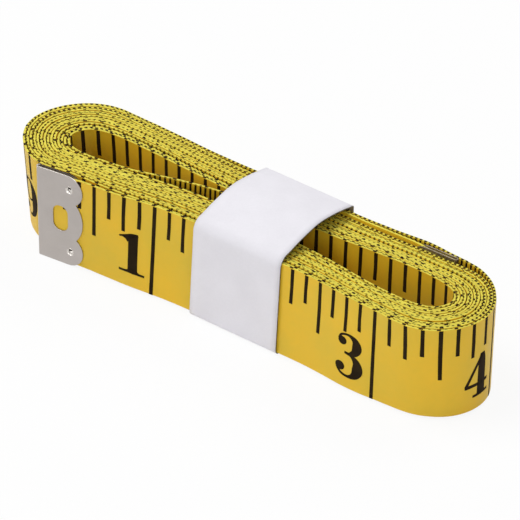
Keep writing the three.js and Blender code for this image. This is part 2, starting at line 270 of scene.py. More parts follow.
class TapeLine:
    def __init__(self, route, places):
        low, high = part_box("tape_roll")
        self.bottom, self.top = low.z / mm, high.z / mm
        self.width = self.top - self.bottom
        self.points = route
        self.along = [0]
        for a, b in zip(route, route[1:]):
            self.along.append(self.along[-1] + (b - a).length)
        self.length = self.along[-1]
        self.join = places["join"]
        self.fold = self.along[places["fold"]]
        self.sideways = []
        for i in range(len(route)):
            run = route[min(i + 1, len(route) - 1)] - route[max(i - 1, 0)]
            self.sideways.append(Vector((run.y, -run.x)).normalized())  # towards the inch side
        self.sway()

    def loose(self, s):  # 0 at the metal ends and the free end, 1 well inside the roll
        return smoothstep(s, *tape["looseOver"]) * smoothstep(self.length - s, *tape["looseOverFar"])

    def sway(self):
        for i, s in enumerate(self.along):
            shift = waves(s, tape["swayWaves"])
            self.points[i] = self.points[i] + self.sideways[i] * shift * tape["sway"] * self.loose(s)

    def rise(self, s):
        stray = waves(s, tape["wanderWaves"]) * tape["wander"] * self.loose(s)
        rear = tape["rearLift"] * between(s, *tape["rearLiftOver"])
        rear += tape["overTip"] * between(s, *tape["overTipOver"])
        low, high = (self.length - d for d in tape["farLiftOver"])
        return stray + rear + tape["farLift"] * smoothstep(s, low, high)

    def station(self, s):
        return min(max(bisect.bisect_right(self.along, s) - 1, 0), len(self.points) - 2)

    def trim(self, s):
        near, far = tape["trim"]
        nearDone, farDone = (smoothstep(d, *tape["trimOver"]) for d in (s, self.length - s))
        return near + far - near * nearDone - far * farDone

    def lean(self, s, x, y):  # where the lower edge sits, seen from the upper one
        part = "tailLean" if s < self.along[self.join] else "lean"
        foot = tape["footBack"] * between(x, *tape["footBackOver"])
        foot -= tape["footOut"] * between(x, *tape["footOutOver"])
        back = tape[part] * smoothstep(-x, *tape[part + "Over"]) + foot * smoothstep(-y, *tape["footDepth"])
        if part == "tailLean":
            return Vector((0, back))
        return Vector(tape["endLean"]) * smoothstep(-x, *tape["endLeanOver"]) + Vector((0, back))

    def at(self, s, across, height):  # across: from the middle of the cloth; height: above its lower edge
        i = self.station(s)
        share = (s - self.along[i]) / (self.along[i + 1] - self.along[i])
        a = self.points[i] + self.sideways[i] * across
        b = self.points[i + 1] + self.sideways[i + 1] * across
        spot = a.lerp(b, share)
        spot = spot + self.lean(s, spot.x, spot.y) * (1 - height / self.width)
        return Vector((spot.x, spot.y, self.bottom + height + self.rise(s))) * mm


line = TapeLine(*tapeRoute())
print(f"tape line: {line.length:.0f} mm, fold at {line.fold:.0f} mm, {len(line.points)} stations")


def colour(code):  # a colour as it is seen, to the shader's linear values
    parts = [int(code[i:i + 2], 16) / 255 for i in (0, 2, 4)]
    return (*[c / 12.92 if c <= 0.04045 else ((c + 0.055) / 1.055) ** 2.4 for c in parts], 1)


def newMaterial(name):
    material = bpy.data.materials.new(name)
    material.use_nodes = True
    nodes = material.node_tree.nodes
    nodes.clear()
    output = nodes.new("ShaderNodeOutputMaterial")
    shader = nodes.new("ShaderNodeBsdfPrincipled")
    material.node_tree.links.new(shader.outputs["BSDF"], output.inputs["Surface"])
    return material, shader


def newGroup(name, inputs, outputs):
    group = bpy.data.node_groups.new(name, "ShaderNodeTree")
    for label, kind, value in inputs:
        socket = group.interface.new_socket(label, in_out="INPUT", socket_type=kind)
        if value is not None:
            socket.default_value = value
    for label, kind in outputs:
        group.interface.new_socket(label, in_out="OUTPUT", socket_type=kind)
    return group, group.nodes.new("NodeGroupInput"), group.nodes.new("NodeGroupOutput")


def mathNode(tree, operation, a, b):
    node = tree.nodes.new("ShaderNodeMath")
    node.operation = operation
    for socket, value in zip(node.inputs, (a, b)):
        if isinstance(value, (int, float)):
            socket.default_value = value
        else:
            tree.links.new(value, socket)
    return node.outputs[0]


def clothWeaveGroup():  # plain weave under a smooth coating, on the tape's own length and height
    sockets = [("Vector", "NodeSocketVector", None), ("Thread", "NodeSocketFloat", 0.00032)]
    group, inside, outside = newGroup("clothWeave", sockets, [("Height", "NodeSocketFloat")])
    split = group.nodes.new("ShaderNodeSeparateXYZ")
    group.links.new(inside.outputs["Vector"], split.inputs[0])
    turn = mathNode(group, "DIVIDE", 2 * math.pi, inside.outputs["Thread"])
    warp = mathNode(group, "SINE", mathNode(group, "MULTIPLY", split.outputs["X"], turn), 0)
    weft = mathNode(group, "SINE", mathNode(group, "MULTIPLY", split.outputs["Y"], turn), 0)
    group.links.new(mathNode(group, "MULTIPLY", warp, weft), outside.inputs["Height"])
    return group


mottling = {"detail": 2, "fineDetail": 4, "finer": 14, "steep": (0.3, 0.7)}


def mottleGroup():  # slow drift of a colour, with finer flecks in it
    sockets = [
        ("Vector", "NodeSocketVector", None), ("Scale", "NodeSocketFloat", 60),
        ("Light", "NodeSocketColor", (1, 1, 1, 1)), ("Dark", "NodeSocketColor", (0, 0, 0, 1)),
        ("Fleck", "NodeSocketFloat", 0.25),
    ]
    outputs = [("Color", "NodeSocketColor"), ("Value", "NodeSocketFloat")]
    group, inside, outside = newGroup("mottle", sockets, outputs)
    slow = group.nodes.new("ShaderNodeTexNoise")
    slow.inputs["Detail"].default_value = mottling["detail"]
    fine = group.nodes.new("ShaderNodeTexNoise")
    fine.inputs["Detail"].default_value = mottling["fineDetail"]
    for noise in (slow, fine):
        group.links.new(inside.outputs["Vector"], noise.inputs["Vector"])
    group.links.new(inside.outputs["Scale"], slow.inputs["Scale"])
    fineScale = mathNode(group, "MULTIPLY", inside.outputs["Scale"], mottling["finer"])
    group.links.new(fineScale, fine.inputs["Scale"])
    swing = mathNode(group, "SUBTRACT", fine.outputs["Fac"], 0.5)
    flecks = mathNode(group, "MULTIPLY", swing, inside.outputs["Fleck"])
    value = mathNode(group, "ADD", slow.outputs["Fac"], flecks)
    steep = group.nodes.new("ShaderNodeMapRange")
    steep.inputs["From Min"].default_value, steep.inputs["From Max"].default_value = mottling["steep"]
    group.links.new(value, steep.inputs["Value"])
    mix = group.nodes.new("ShaderNodeMix")
    mix.data_type = "RGBA"
    group.links.new(steep.outputs["Result"], mix.inputs["Factor"])
    group.links.new(inside.outputs["Dark"], mix.inputs["A"])
    group.links.new(inside.outputs["Light"], mix.inputs["B"])
    group.links.new(mix.outputs["Result"], outside.inputs["Color"])
    group.links.new(steep.outputs["Result"], outside.inputs["Value"])
    return group


clothWeave = clothWeaveGroup()
mottle = mottleGroup()


def place(material, group, **values):
    node = material.node_tree.nodes.new("ShaderNodeGroup")
    node.node_tree = group
    for label, value in values.items():
        node.inputs[label].default_value = value
    return node


def coordinates(material, uvName=None):  # the piece's own map, or its place
    nodes = material.node_tree.nodes
    if uvName:
        source = nodes.new("ShaderNodeUVMap")
        source.uv_map = uvName
        return source.outputs["UV"]
    return nodes.new("ShaderNodeTexCoord").outputs["Object"]


def bump(material, shader, height, strength, distance):
    node = material.node_tree.nodes.new("ShaderNodeBump")
    node.inputs["Strength"].default_value = strength
    node.inputs["Distance"].default_value = distance
    material.node_tree.links.new(height, node.inputs["Height"])
    material.node_tree.links.new(node.outputs["Normal"], shader.inputs["Normal"])


def roughBetween(material, shader, value, low, high):
    node = material.node_tree.nodes.new("ShaderNodeMapRange")
    node.inputs["To Min"].default_value = low
    node.inputs["To Max"].default_value = high
    material.node_tree.links.new(value, node.inputs["Value"])
    material.node_tree.links.new(node.outputs["Result"], shader.inputs["Roughness"])


finishes = {
    "face": {"light": "F0C024", "dark": "DCBC2C", "scale": 60, "fleck": 0.15, "rough": (0.42, 0.52)},
    "edge": {"light": "EADD54", "dark": "CDBE40", "scale": 420, "fleck": 0.6, "rough": (0.6, 0.75)},
    "ink": {"light": "2F2515", "dark": "21170B", "scale": 300, "fleck": 0.5, "rough": (0.6, 0.72)},
    "nickel": {"light": "B9B2AD", "dark": "B3ACA7", "scale": 240, "fleck": 0.5, "rough": (0.3, 0.38)},
    # painted highlight: a brighter copy of the nickel, put on the crimp cups for their bright rims
    "paintedHighlight": {"light": "DCD7D1", "dark": "C6C0BA", "scale": 700, "fleck": 0.5, "rough": (0.2, 0.3)},
    "stamped": {"light": "B8B2AC", "dark": "A49E98", "scale": 700, "fleck": 0.5, "rough": (0.25, 0.35)},
    # painted shade: a darker, browner copy of the nickel for the hidden end, deep in the roll
    "shadedNickel": {"light": "8F8374", "dark": "776B5C", "scale": 500, "fleck": 0.6, "rough": (0.4, 0.5)},
    # painted shade: near black, in the torn crimp holes and on the near end's rear plate edges
    "paintedShade": {"light": "3A332B", "dark": "241E18", "scale": 700, "fleck": 0.5, "rough": (0.7, 0.85)},
    "paper": {"light": "ECEAF0", "dark": "E7E5EB", "scale": 160, "fleck": 0.5, "rough": (0.8, 0.92)},
    "paperInside": {"light": "8F887B", "dark": "746D60", "scale": 300, "fleck": 0.8, "rough": (0.88, 0.96)},
    "paperCut": {"light": "8F8779", "dark": "5E564B", "scale": 900, "fleck": 0.9, "rough": (0.9, 0.98)},
    "glue": {"light": "DDD6BC", "dark": "C9C09F", "scale": 300, "fleck": 0.6, "rough": (0.4, 0.6)},
}
surfaces = [  # what some finishes share: their map, shine and bumps
    {"of": ["face"], "map": "TapeMap", "specular": 0.4, "bump": (0.25, 0.00002), "woven": True},
    {"of": ["edge"], "map": "TapeMap", "specular": 0.25, "bump": (0.4, 0.00003)},
    {"of": ["ink"], "specular": 0.05, "bump": (0.15, 0.00002)},
    {"of": ["nickel", "paintedHighlight", "stamped", "shadedNickel"],
     "metal": 1, "specular": 0.5, "bump": (0.05, 0.00001)},
    {"of": ["paintedShade", "paper", "paperInside", "paperCut"],
     "specular": 0.2, "bump": (0.2, 0.00002)},
    {"of": ["glue"], "specular": 0.5, "bump": (0.3, 0.00004)},
]


def finish(name, surface):
    values = finishes[name]
    material, shader = newMaterial(name)
    links = material.node_tree.links
    where = coordinates(material, surface.get("map"))
    spots = place(material, mottle, Scale=values["scale"], Fleck=values["fleck"],
                  Light=colour(values["light"]), Dark=colour(values["dark"]))
    links.new(where, spots.inputs["Vector"])
    links.new(spots.outputs["Color"], shader.inputs["Base Color"])
    roughBetween(material, shader, spots.outputs["Value"], *values["rough"])
    shader.inputs["Metallic"].default_value = surface.get("metal", 0)
    shader.inputs["Specular IOR Level"].default_value = surface["specular"]
    height = spots.outputs["Value"]
    if surface.get("woven"):
        weave = place(material, clothWeave)
        links.new(where, weave.inputs["Vector"])
        height = weave.outputs["Height"]
    bump(material, shader, height, *surface["bump"])
    return material


looks = {name: finish(name, surface) for surface in surfaces for name in surface["of"]}
print("finishes made:", len(looks))


def asObject(bm, name, *materials):
    mesh = bpy.data.meshes.new(name)
    bm.to_mesh(mesh)
    bm.free()
    for material in materials:
        mesh.materials.append(material)
    piece = bpy.data.objects.new(name, mesh)
    scene.collection.objects.link(piece)
    return piece


def chainOf(bm, points):  # vertices in a row, and the edges between them
    chain = [bm.verts.new(point) for point in points]
    return chain, [bm.edges.new(pair) for pair in zip(chain, chain[1:])]


def growOn(bm, edges):  # extrudes a row of edges: the new row, and its vertices
    grown = bmesh.ops.extrude_edge_only(bm, edges=edges)["geom"]
    fresh = {g for g in grown if isinstance(g, bmesh.types.BMVert)}
    row = [g for g in grown if isinstance(g, bmesh.types.BMEdge) and all(v in fresh for v in g.verts)]
    return row, fresh


def pour(source, target):  # adds one mesh to another
    mesh = bpy.data.meshes.new("poured")
    source.to_mesh(mesh)
    source.free()
    target.from_mesh(mesh)
    bpy.data.meshes.remove(mesh)


def cutAcross(bm, x, near):
    everything = [*bm.verts, *bm.edges, *bm.faces]
    bmesh.ops.bisect_plane(bm, geom=everything, dist=near, plane_co=(x, 0, 0), plane_no=(1, 0, 0))


def thicken(piece, thickness, rim=0):  # about its middle
    solid = piece.modifiers.new("thickness", "SOLIDIFY")
    solid.thickness = thickness * mm
    solid.offset = 0
    solid.use_even_offset = True
    solid.material_offset_rim = rim


def roundEdges(piece):
    soft = piece.modifiers.new("rounded edges", "BEVEL")
    soft.width = tape["edgeRound"] * mm
    soft.segments = tape["edgeSegments"]
    soft.limit_method = "ANGLE"
    soft.angle_limit = tape["edgeAngle"]
    soft.harden_normals = True


freeEndBend = {"start": (-0.0095, -0.0096, 0.010), "end": (-0.0175, -0.0096, 0.010)}


def bendWithFreeEnd(piece):
    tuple(freeEndBend["start"])
    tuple(freeEndBend["end"])
    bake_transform(piece)


def clothStrip(name, first, last):
    bm = bmesh.new()
    alongLayer = bm.verts.layers.float.new("along")
    stations = line.along[first:last + 1]
    chain, edges = chainOf(bm, [line.at(s, 0, 0) for s in stations])
    for vert, s in zip(chain, stations):
        vert[alongLayer] = s * mm
    for level in range(1, tape["rows"] + 1):
        edges, fresh = growOn(bm, edges)
        for vert in fresh:
            s = vert[alongLayer] / mm
            vert.co = line.at(s, 0, (line.width - line.trim(s)) * level / tape["rows"])
    uv = bm.loops.layers.uv.new("TapeMap")
    for face in bm.faces:
        face.smooth = True
        for loop in face.loops:
            loop[uv].uv = (loop.vert[alongLayer], loop.vert.co.z)
    piece = asObject(bm, name, looks["face"], looks["edge"])
    thicken(piece, tape["thickness"], rim=1)
    roundEdges(piece)
    return piece


def makeTape():
    roll = clothStrip("tape_roll_cloth", line.join, len(line.points) - 1)
    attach(roll, "roll")
    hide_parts("tape_roll")
    tail = clothStrip("tape_free_end_cloth", 0, line.join)
    bendWithFreeEnd(tail)
    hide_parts("tape_free_end")


makeTape()
print("tape wound")


# The print: scales on both sides, with their ticks at the upper edge and running over it
inchScale = {
    "side": 1,
    "zero": -0.85,  # near the fold of the metal end
    "step": inch / 8,
    "thick": 0.75,
    "lengths": {8: 1, 4: 0.57, 2: 0.39, 1: 0.315},  # share of the width, at every 8th, 4th, 2nd and 1st step
    "blank": 50,  # no print at the far end
    "stretch": [  # from where to where the print is stretched to meet the photo, and by how much
        (36, 56, -0.5), (73, 84, 0.5), (108, 210, 1.4), (240, 1480, 10.25), (1525, 1560, -0.25),
    ],
    "worn": 0.12,  # bare cloth between the tick and its dot on the edge
    "edgeDot": (0.21, -0.2),  # from and to, across the edge
    "dot": 0.72,
    "dotLag": 0.4,  # the dots sit this far before their ticks
    "unit": inch,  # from number to number
    "numeralHigh": 9.2,
    "numeralWide": 1.13,
    "toLine": 2.2,  # from the last numeral to its line
    "astray": {1: (0, 0.3), 4: (0.5, 0.4), 9: (0.5, 1)},  # nudged this far, to the right and up
    "shownTo": 320,  # numbers that can be seen: on the outer turn
    "shownRoundFold": (25, 255),  # and in the opening
}
cmScale = {
    "side": -1,
    "zero": -0.5,
    "step": 1,
    "thick": 0.42,
    "lengths": {10: 1, 5: 0.34, 1: 0.24},
    "blank": 12,
    "stretch": [],
    "worn": 0.05,
    "edgeDot": (-0.22, 0.14),
    "dot": 0.55,
    "dotLag": 0,
    "unit": 10,
    "numeralHigh": 6.4,
    "numeralWide": 0.62,
    "toLine": 0.7,
    "astray": {},
    "shownTo": 50,  # behind the free end
    "shownRoundFold": (75, 75),
}
ink = {
    "thickness": 0.035,
    "proud": 0.025,  # on the free end, clear of the cloth
    "dotLift": 0.004,
    "deep": (480, 680),  # the dots fade towards the inside of the roll, but not next to the fold
    "deepLoss": 0.6,
    "nearFold": (60, 160),
    "inner": 0.9,  # strength of the inch dots next to the fold, and what they lose further out
    "innerLoss": 0.6,
    "innerTurns": (300, 800),
    "innerCm": 0.35,
    "frontOver": (-0.3, 0.7),  # from rear walls to front walls
    "cmFrontLoss": 0.75,
    "patchy": 0.15,
    "faint": 0.14,  # weaker dots are left out
    "leastDot": 0.6,
    "bend": 0.07,  # how far a tick strays in its middle, at its end and in its thickness
    "bendAt": 0.55,
    "slant": 0.14,
    "spread": 0.06,
    "clear": 0.1,  # the ticks keep this far from the cloth's cut edge
    "tickSeed": 5,
    "dotSeed": 8,
}


def routeAt(scale, reading):  # the centimetre scale starts at the far end
    shift = sum(gain * smoothstep(reading, low, high) for low, high, gain in scale["stretch"])
    if scale["side"] > 0:
        return reading + shift + scale["zero"]
    return line.length - reading - scale["zero"]


def tickMarks(scale):
    marks = []
    count = int((line.length - scale["blank"]) / scale["step"])
    for n in range(1, count):
        share = next(s for steps, s in scale["lengths"].items() if n % steps == 0)
        marks.append((routeAt(scale, n * scale["step"]), share))
    return marks


def inkStrips(bm, strips):  # each strip: rows of points from edge to edge, as many rows in all strips
    edges, columns = [], []
    number = bm.verts.layers.int.get("number") or bm.verts.layers.int.new("number")
    for rows in strips:
        chain, firstEdges = chainOf(bm, rows[0])
        for vert, column in zip(chain, zip(*rows)):
            vert[number] = len(columns)
            columns.append(column)
        edges += firstEdges
    for level in range(1, len(columns[0])):
        edges, fresh = growOn(bm, edges)
        for vert in fresh:
            vert.co = columns[vert[number]][level]


def inkSurface(scale, s):
    return scale["side"] * (tape["thickness"] / 2 + (ink["proud"] if s < line.along[line.join] else 0))


def tickRows(scale, marks):
    chance = random.Random(ink["tickSeed"])
    for s, share in marks:
        surface = inkSurface(scale, s)
        bend = chance.uniform(-1, 1) * ink["bend"]
        slant = chance.uniform(-1, 1) * ink["slant"] * share
        middle = ink["bendAt"]
        rows = []
        for level, shift in ((0, 0), (middle, slant * middle + bend), (1, slant)):
            half = scale["thick"] / 2 * (1 + chance.uniform(-1, 1) * ink["spread"])
            top = max(scale["worn"], line.trim(s) + ink["clear"])
            height = line.width - top - level * (line.width * share - top)
            rows.append([line.at(s + shift + k * half, surface, height) for k in (-1, 0, 1)])
        yield rows


def dotStrength(scale, s):  # the inch dots are the strong ones in front, the millimetre dots behind
    isInch = scale["side"] > 0
    if s > line.fold:
        lost = ink["innerLoss"] * smoothstep(s - line.fold, *ink["innerTurns"])
        return ink["inner"] - lost if isInch else ink["innerCm"]
    front = smoothstep(-line.sideways[line.station(s)].y, *ink["frontOver"])
    deep = smoothstep(s, *ink["deep"]) * smoothstep(line.fold - s, *ink["nearFold"])
    return (front if isInch else 1 - ink["cmFrontLoss"] * front) * (1 - ink["deepLoss"] * deep)


def dotRows(scale, marks):  # where the ticks run over the edge
    near, far = scale["edgeDot"]
    top = line.width + ink["dotLift"]
    chance = random.Random(ink["dotSeed"])
    for s, _ in marks:
        strength = min(dotStrength(scale, s) + chance.uniform(-ink["patchy"], ink["patchy"]), 1)
        if strength < ink["faint"] or line.trim(s - scale["dotLag"]) > 0:
            continue
        half = scale["dot"] / 2 * (ink["leastDot"] + (1 - ink["leastDot"]) * strength)
        columns = [s - scale["dotLag"] + k * half for k in (-1, 0, 1)]
        reach = near + (far - near) * strength
        yield [[line.at(c, across, top) for c in columns] for across in (near, reach)]


# Numerals in strokes of x, y and width, and balls of x, y and radius, in shares of their height
numerals = {
    "0": {"width": 0.56, "strokes": [[
        (0.28, 0.98, 0.045), (0.13, 0.86, 0.13), (0.095, 0.5, 0.185), (0.13, 0.14, 0.13),
        (0.28, 0.02, 0.045), (0.43, 0.14, 0.13), (0.465, 0.5, 0.185), (0.43, 0.86, 0.13),
        (0.28, 0.98, 0.045)]]},
    "1": {"width": 0.48, "strokes": [
        [(0.283, 0.955, 0.2), (0.283, 0.5, 0.195), (0.283, 0.07, 0.2)],
        [(0, 0.86, 0.04), (0.12, 0.9, 0.05), (0.25, 0.935, 0.09), (0.383, 0.97, 0.06)],
        [(0.06, 0.87, 0.03), (0.14, 0.87, 0.09), (0.21, 0.835, 0.16)],
        [(0, 0.07, 0.052), (0.16, 0.074, 0.058), (0.283, 0.11, 0.15), (0.41, 0.07, 0.058),
         (0.535, 0.066, 0.052)]]},
    "2": {"width": 0.57, "balls": [(0.12, 0.735, 0.088)], "strokes": [
        [(0.045, 0.75, 0.05), (0.075, 0.89, 0.045), (0.24, 0.975, 0.05), (0.41, 0.9, 0.14),
         (0.455, 0.74, 0.19), (0.38, 0.55, 0.13), (0.22, 0.34, 0.06), (0.09, 0.16, 0.04),
         (0.05, 0.04, 0.04)],
        [(0.05, 0.06, 0.05), (0.16, 0.12, 0.12), (0.3, 0.085, 0.15), (0.43, 0.06, 0.11),
         (0.52, 0.13, 0.05), (0.545, 0.25, 0.03)]]},
    "3": {"width": 0.57, "balls": [(0.13, 0.8, 0.093), (0.105, 0.21, 0.102)], "strokes": [
        [(0.055, 0.82, 0.05), (0.11, 0.93, 0.048), (0.27, 0.975, 0.058), (0.41, 0.9, 0.15),
         (0.45, 0.76, 0.205), (0.4, 0.62, 0.15), (0.28, 0.545, 0.065), (0.19, 0.555, 0.05)],
        [(0.19, 0.555, 0.05), (0.34, 0.53, 0.075), (0.46, 0.41, 0.17), (0.48, 0.25, 0.22),
         (0.42, 0.1, 0.155), (0.29, 0.028, 0.065), (0.13, 0.055, 0.055), (0.035, 0.17, 0.055)]]},
    "4": {"width": 0.6, "strokes": [
        [(0.4, 0.97, 0.07), (0.22, 0.66, 0.065), (0.04, 0.3, 0.065)],
        [(0.02, 0.29, 0.08), (0.3, 0.29, 0.075), (0.58, 0.29, 0.075)],
        [(0.4, 0.99, 0.11), (0.4, 0.8, 0.185), (0.4, 0.4, 0.2), (0.4, 0.04, 0.21)],
        [(0.2, 0.03, 0.06), (0.31, 0.036, 0.075), (0.4, 0.07, 0.16), (0.49, 0.036, 0.075),
         (0.6, 0.03, 0.06)]]},
    "5": {"width": 0.57, "balls": [(0.1, 0.2, 0.088)], "strokes": [
        [(0.09, 0.93, 0.13), (0.22, 0.91, 0.13), (0.36, 0.93, 0.1), (0.47, 0.985, 0.03)],
        [(0.075, 0.97, 0.045), (0.08, 0.72, 0.042), (0.09, 0.5, 0.042)],
        [(0.09, 0.51, 0.042), (0.21, 0.605, 0.05), (0.36, 0.57, 0.12), (0.475, 0.43, 0.18),
         (0.49, 0.27, 0.205), (0.43, 0.1, 0.14), (0.29, 0.024, 0.055), (0.13, 0.05, 0.045),
         (0.04, 0.17, 0.05)]]},
    "6": {"width": 0.57, "balls": [(0.43, 0.79, 0.082)], "strokes": [[
        (0.5, 0.81, 0.045), (0.43, 0.94, 0.042), (0.29, 0.975, 0.05), (0.14, 0.83, 0.13),
        (0.095, 0.52, 0.185), (0.11, 0.24, 0.165), (0.19, 0.065, 0.09), (0.3, 0.024, 0.05),
        (0.43, 0.1, 0.11), (0.48, 0.29, 0.18), (0.43, 0.49, 0.11), (0.31, 0.57, 0.05),
        (0.18, 0.51, 0.045), (0.13, 0.38, 0.04)]]},
    "7": {"width": 0.55, "strokes": [
        [(0.045, 0.74, 0.035), (0.065, 0.88, 0.06), (0.17, 0.92, 0.14), (0.34, 0.89, 0.13),
         (0.46, 0.94, 0.05), (0.53, 0.985, 0.03)],
        [(0.52, 0.97, 0.04), (0.41, 0.74, 0.055), (0.29, 0.46, 0.12), (0.25, 0.18, 0.185),
         (0.25, 0.01, 0.2)]]},
    "8": {"width": 0.57, "strokes": [[
        (0.29, 0.52, 0.13), (0.14, 0.66, 0.13), (0.13, 0.85, 0.085), (0.28, 0.975, 0.05),
        (0.43, 0.85, 0.075), (0.41, 0.68, 0.065), (0.27, 0.52, 0.06), (0.11, 0.37, 0.075),
        (0.085, 0.18, 0.1), (0.28, 0.025, 0.052), (0.48, 0.17, 0.12), (0.46, 0.37, 0.16),
        (0.29, 0.52, 0.13)]]},
}
six = numerals["6"]
numerals["9"] = {  # a six, turned over
    "width": six["width"],
    "balls": [(six["width"] - x, 1 - y, r) for x, y, r in six["balls"]],
    "strokes": [[(six["width"] - x, 1 - y, w) for x, y, w in stroke] for stroke in six["strokes"]],
}
lettering = {
    "baseline": 2.3,
    "gap": 0.7,  # between two numerals
    "steps": 5,
    "bend": 0.4,  # cut this finely, so that they follow the cloth round the ends
    "ballSides": 14,
}


def strokeRow(stroke):
    spine = evenSpline(stroke, lettering["steps"])
    left, right = [], []
    for i, p in enumerate(spine):
        run = spine[min(i + 1, len(spine) - 1)] - spine[max(i - 1, 0)]
        out = Vector((-run.y, run.x, 0)).normalized() * p.z / 2
        left.append(Vector((p.x, p.y, 0)) + out)
        right.append(Vector((p.x, p.y, 0)) - out)
    return left, right


def flatNumber(text, height, wide):  # mm, its right end at x = 0
    bm = bmesh.new()
    x = 0
    for digit in reversed(text):
        shape = numerals[digit]
        x -= shape["width"] * height * wide
        part = bmesh.new()
        inkStrips(part, [strokeRow(stroke) for stroke in shape["strokes"]])
        for cx, cy, r in shape.get("balls", ()):
            bmesh.ops.create_circle(part, cap_ends=True, segments=lettering["ballSides"], radius=r,
                                    matrix=Matrix.Translation((cx, cy, 0)))
        scale = Matrix.Diagonal((height * wide, height, 1, 1))
        bmesh.ops.transform(part, matrix=Matrix.Translation((x, 0, 0)) @ scale, verts=part.verts)
        pour(part, bm)
        x -= lettering["gap"] * wide
    while x < 0:
        cutAcross(bm, x, weld)
        x += lettering["bend"]
    return bm


def printNumber(target, scale, number):
    bm = flatNumber(str(number), scale["numeralHigh"], scale["numeralWide"])
    reading = number * scale["unit"]
    surface = inkSurface(scale, routeAt(scale, reading))
    right, up = scale["astray"].get(number, (0, 0))
    for vert in bm.verts:
        s = routeAt(scale, reading + vert.co.x - scale["toLine"] + right)
        vert.co = line.at(s, surface, lettering["baseline"] + vert.co.y + up)
    pour(bm, target)


def shownNumbers(scale):
    before, past = scale["shownRoundFold"]
    for number in range(1, int(line.length / scale["unit"])):
        s = routeAt(scale, number * scale["unit"])
        if s < scale["shownTo"] or line.fold - before < s < line.fold + past:
            yield number, s


def printPiece(name, scale, onTail):
    joint = line.along[line.join]
    bm = bmesh.new()
    marks = [m for m in tickMarks(scale) if (m[0] < joint) == onTail]
    inkStrips(bm, tickRows(scale, marks))
    inkStrips(bm, dotRows(scale, marks))
    for number, s in shownNumbers(scale):
        if (s < joint) == onTail:
            printNumber(bm, scale, number)
    piece = asObject(bm, name, looks["ink"])
    thicken(piece, ink["thickness"])
    if onTail:
        bendWithFreeEnd(piece)
    else:
        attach(piece, "roll")


def makePrint():
    for scaleName, scale in (("inch", inchScale), ("cm", cmScale)):
        printPiece(f"roll_{scaleName}_print", scale, False)
        printPiece(f"free_end_{scaleName}_print", scale, True)


makePrint()
print("scales printed")


# The metal ends: a stamped blank with lobes, slots and crimp holes, folded round the end of the tape
tip = {
    "plate": 0.26,
    "gap": 0.235,  # from the middle of the tape to the plate
    "length": 9.9,
    "over": 0.45,  # past the tape's edges
    "lobe": 3.3,
    "notch": math.radians(55),
    "slot": (3.2, 5.5),
    "slotRound": 1.5,
    "slotFromFold": 5.1,
    "crimp": 0.74,
    "crimpIn": 2.75,  # from the lobes' ends
    "crimpUp": 3.05,
    "edge": 0.06,
    "arcSteps": 12,
    "foldCuts": 10,
    "crimpProfile": [(0.84, -0.03), (0.81, 0.02), (0.77, 0), (0.71, -0.08), (0.64, -0.17), (0.55, -0.2),
                     (0.46, -0.21), (0.24, -0.1), (0.01, 0)],
    "crimpSides": 28,
    "cupWall": 0.03,
    "torn": (0.1, 0.47),  # the ragged part, from and to
    "tear": 0.05,
    "ragged": 0.12,
    "tongue": math.radians(55),  # a hook of metal left standing in the torn hole, kept out of its painted shade
    "tongueAim": (1, -0.4),
    "aimFrom": 5,  # the plates lie along the tape's last bit of this length
    "edgeFacing": 0.9,  # the stamped edges face less to the front or rear than this
    "sharp": math.radians(35),
    "cutNear": 1e-6,  # mm
}
tipHeight = line.width + 2 * tip["over"]


def arc(centre, radius, start, stop, steps):
    angles = [start + (stop - start) * i / steps for i in range(steps + 1)]
    return [(centre[0] + radius * math.cos(a), centre[1] + radius * math.sin(a)) for a in angles]


def lobedEdge():  # the edge of one plate, from below to above
    width, r, n = tipHeight, tip["lobe"], tip["arcSteps"]
    lobeX = tip["length"] - r
    notchX = lobeX + r * math.cos(tip["notch"])
    halfChord = width / 2 - r * (1 + math.sin(tip["notch"]))
    bulge = tip["length"] - notchX
    middle = (halfChord ** 2 + bulge ** 2) / (2 * bulge)
    spread = math.asin(halfChord / middle)
    return [
        *arc((lobeX, r), r, -math.pi / 2, tip["notch"], n),
        *arc((tip["length"] - middle, width / 2), middle, -spread, spread, n)[1:-1],
        *arc((lobeX, width - r), r, -tip["notch"], math.pi / 2, n),
    ]


def slotOutline():
    (length, height), r = tip["slot"], tip["slotRound"]
    x, y, n = length / 2 - r, height / 2 - r, tip["arcSteps"] // 2
    points = []
    for quarter, (sx, sy) in enumerate(((1, 1), (-1, 1), (-1, -1), (1, -1))):
        centre = (tip["slotFromFold"] + sx * x, tipHeight / 2 + sy * y)
        points += arc(centre, r, quarter * math.pi / 2, (quarter + 1) * math.pi / 2, n)
    return points


def crimpCentres():
    x = tip["length"] - tip["crimpIn"]
    return [(x, tip["crimpUp"]), (x, tipHeight - tip["crimpUp"])]


